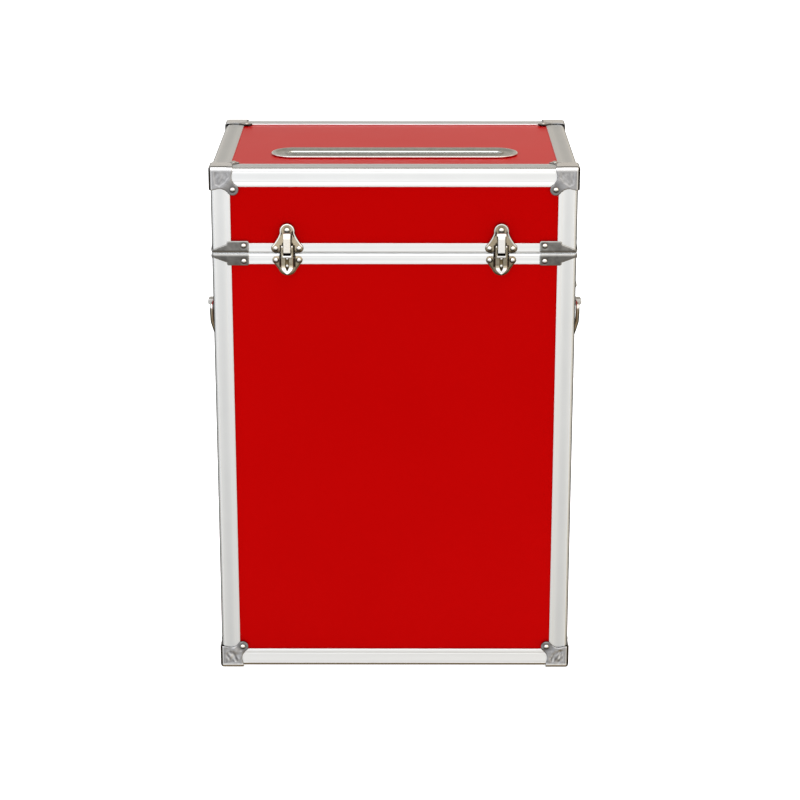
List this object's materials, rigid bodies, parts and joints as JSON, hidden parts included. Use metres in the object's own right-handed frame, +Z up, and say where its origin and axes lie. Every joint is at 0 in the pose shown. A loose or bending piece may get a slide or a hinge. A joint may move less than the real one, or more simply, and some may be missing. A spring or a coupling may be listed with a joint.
{
  "type": "ballot box",
  "caption": "Upright ballot box: red boards in an aluminium frame with stamped corners, a hinged lid with a long posting slot, sprung front latches and drop handles at the sides.",
  "frame": {"origin": "middle of the floor that the box stands on, at the level of the bottom corner covers", "axes": "+Z up; -Y towards the front, where the latches are; +X to the right of someone who faces the front"},
  "size_m": [0.3638, 0.2486, 0.5039],
  "materials": {
    "red_board": "smooth satin red skin, faintly dimpled",
    "frame_aluminium": "extruded, satin anodised, with fine grooves along its length",
    "corner_steel": "pressed sheet, dull zinc plate",
    "brace_steel": "pressed sheet, dull zinc plate",
    "rivet_nickel": "bright nickel plate",
    "latch_nickel": "bright nickel plate on pressed sheet",
    "slot_plate_steel": "bright plated pressed sheet",
    "lock_steel": "plated, dull",
    "spring_steel": "drawn wire",
    "hinge_steel": "bright zinc plate",
    "handle_plate_steel": "pressed sheet, bright zinc plate",
    "handle_chrome": "bright plated rod"
  },
  "bodies": {
    "cabinet": {"body_back_panel": "red_board", "body_bottom_panel": "red_board", "body_front_panel": "red_board", "body_hinge_leaves": "hinge_steel", "body_knee_braces": "brace_steel", "body_left_panel": "red_board", "body_post_back_left": "frame_aluminium", "body_post_back_right": "frame_aluminium", "body_post_front_left": "frame_aluminium", "body_post_front_right": "frame_aluminium", "body_right_panel": "red_board", "body_rim": "frame_aluminium", "body_rivets": "rivet_nickel", "bottom_corner_back_left": "corner_steel", "bottom_corner_back_right": "corner_steel", "bottom_corner_front_left": "corner_steel", "bottom_corner_front_right": "corner_steel", "bottom_edge_back": "frame_aluminium", "bottom_edge_front": "frame_aluminium", "bottom_edge_left": "frame_aluminium", "bottom_edge_right": "frame_aluminium", "handle_plate_left": "handle_plate_steel", "handle_plate_right": "handle_plate_steel", "hinge_pins": "hinge_steel", "latch_base_left": "latch_nickel", "latch_base_right": "latch_nickel", "latch_pins": "hinge_steel"},
    "lid": {"lid_back_panel": "red_board", "lid_front_panel": "red_board", "lid_hinge_leaves": "hinge_steel", "lid_knee_braces": "brace_steel", "lid_left_panel": "red_board", "lid_post_back_left": "frame_aluminium", "lid_post_back_right": "frame_aluminium", "lid_post_front_left": "frame_aluminium", "lid_post_front_right": "frame_aluminium", "lid_right_panel": "red_board", "lid_rim": "frame_aluminium", "lid_rivets": "rivet_nickel", "lid_top_panel": "red_board", "slot_plate": "slot_plate_steel", "strike_plate_left": "latch_nickel", "strike_plate_right": "latch_nickel", "top_corner_back_left": "corner_steel", "top_corner_back_right": "corner_steel", "top_corner_front_left": "corner_steel", "top_corner_front_right": "corner_steel", "top_edge_back": "frame_aluminium", "top_edge_front": "frame_aluminium", "top_edge_left": "frame_aluminium", "top_edge_right": "frame_aluminium"},
    "lever_left": {"latch_lever_left": "latch_nickel", "lever_spring_left": "spring_steel"},
    "lock_left": {"lock_plug_left": "lock_steel"},
    "bail_left": {"handle_bail_left": "handle_chrome"},
    "lever_right": {"latch_lever_right": "latch_nickel", "lever_spring_right": "spring_steel"},
    "lock_right": {"lock_plug_right": "lock_steel"},
    "bail_right": {"handle_bail_right": "handle_chrome"}
  },
  "joints": [
    {"name": "lid_hinge", "type": "hinge", "parent": "cabinet", "child": "lid", "pos_m": [0, 0.1184, 0.42055], "axis": [-1, 0, 0], "range_deg": [0, 100]},
    {"name": "latch_lever_left", "type": "hinge", "parent": "cabinet", "child": "lever_left", "pos_m": [-0.0996, -0.1182, 0.4169], "axis": [-1, 0, 0], "range_deg": [-6, 12], "stiffness_Nm_per_rad": 0.05},
    {"name": "lock_left", "type": "hinge", "parent": "lever_left", "child": "lock_left", "pos_m": [-0.0996, -0.1206, 0.4138], "axis": [0, 1, 0], "range_deg": [-90, 0]},
    {"name": "latch_lever_right", "type": "hinge", "parent": "cabinet", "child": "lever_right", "pos_m": [0.0996, -0.1182, 0.4169], "axis": [-1, 0, 0], "range_deg": [-6, 12], "stiffness_Nm_per_rad": 0.05},
    {"name": "lock_right", "type": "hinge", "parent": "lever_right", "child": "lock_right", "pos_m": [0.0996, -0.1206, 0.4138], "axis": [0, 1, 0], "range_deg": [-90, 0]},
    {"name": "handle_left", "type": "hinge", "parent": "cabinet", "child": "bail_left", "pos_m": [-0.1775, 0, 0.3523], "axis": [0, 1, 0], "range_deg": [-0.6, 90]},
    {"name": "handle_right", "type": "hinge", "parent": "cabinet", "child": "bail_right", "pos_m": [0.1775, 0, 0.3523], "axis": [0, -1, 0], "range_deg": [-0.6, 90]}
  ]
}
